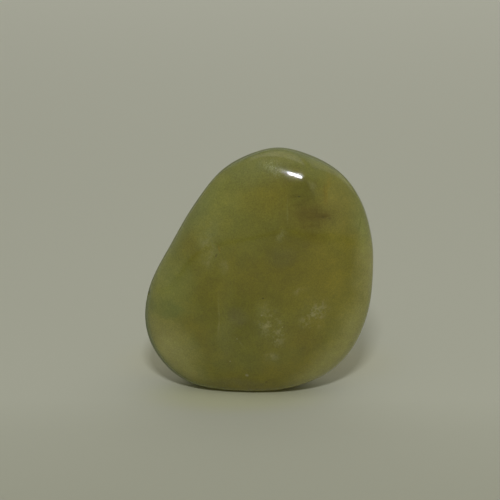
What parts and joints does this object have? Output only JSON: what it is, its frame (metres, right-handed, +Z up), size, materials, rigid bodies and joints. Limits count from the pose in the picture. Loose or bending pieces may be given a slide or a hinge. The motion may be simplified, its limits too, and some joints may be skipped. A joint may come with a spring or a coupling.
{
  "type": "jadeite pebble",
  "caption": "Flat, blunt-rimmed polished jadeite pebble that stands on edge on a small worn flat, broad face forward.",
  "frame": {"origin": "on the ground, under the middle of the stone's bounding box", "axes": "+Z up along the stone's height, -Y out of the broad front face, +X to the right of it, so Y is the stone's thickness"},
  "size_m": [0.0338, 0.0128, 0.0372],
  "materials": {
    "jadeite": "tumble-polished olive-green jadeite, slightly translucent, with pale wisps, smoky clouds and healed cracks"
  },
  "bodies": {
    "root": {"jadeite_pebble": "jadeite"}
  },
  "joints": []
}
